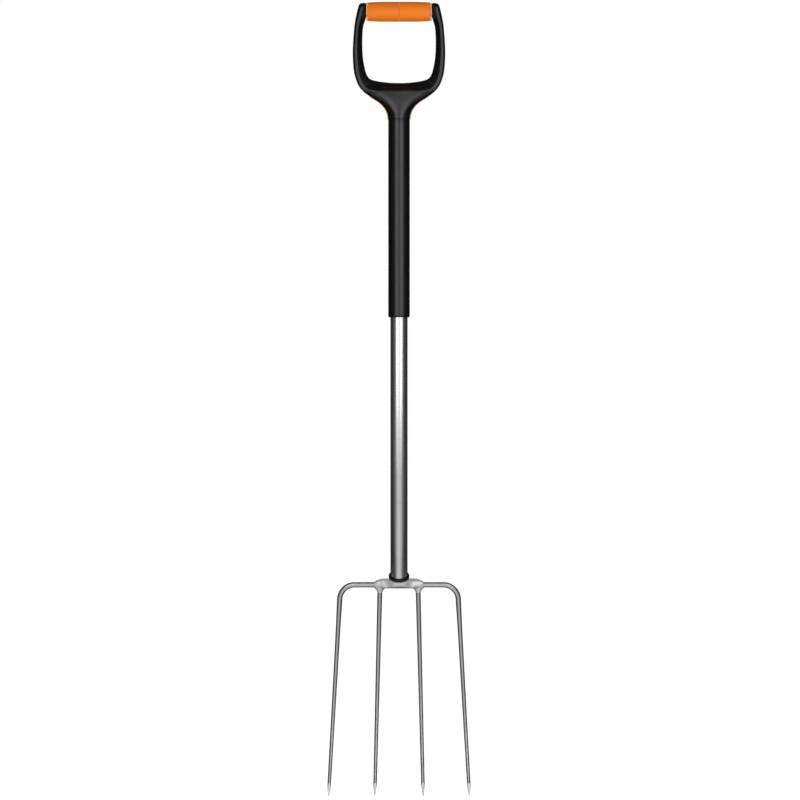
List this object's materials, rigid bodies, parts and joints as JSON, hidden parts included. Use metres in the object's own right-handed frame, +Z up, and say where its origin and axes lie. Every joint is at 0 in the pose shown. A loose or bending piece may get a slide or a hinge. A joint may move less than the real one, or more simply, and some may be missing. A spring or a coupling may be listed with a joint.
{
  "type": "garden fork",
  "caption": "Long-handled garden fork with slim round curved tines, a cranked steel tube shaft, a black upper sleeve and a black D-handle with an orange grip",
  "frame": {"origin": "the underside of the grip at its middle, where a wall hook or a peg carries the hanging fork", "axes": "+Z runs up the shaft from the tines to the grip, +X runs along the grip, and -Y is the front, the hollow side of the tines"},
  "size_m": [0.216, 0.1053, 1.199],
  "materials": {
    "satin_steel": "satin drawn steel tube under a clear lacquer",
    "tine_steel": "hardened steel, satin, with ground points",
    "dark_steel": "blackened steel screw",
    "black_plastic": "satin black moulded plastic with fine grain",
    "black_rubber": "matt black rubber",
    "orange_plastic": "orange moulded plastic",
    "orange_rubber": "soft orange grip moulding"
  },
  "bodies": {
    "root": {"shaft_tube": "satin_steel", "upper_sleeve": "black_plastic", "handle_frame": "black_plastic", "neck_back_cover": "orange_plastic", "cover_screw": "dark_steel", "grip_left": "orange_rubber", "grip_right": "orange_rubber", "collar_ring": "black_rubber", "tine_yoke": "tine_steel", "inner_tine_left": "tine_steel", "inner_tine_right": "tine_steel", "outer_tine_left": "tine_steel", "outer_tine_right": "tine_steel"}
  },
  "joints": []
}
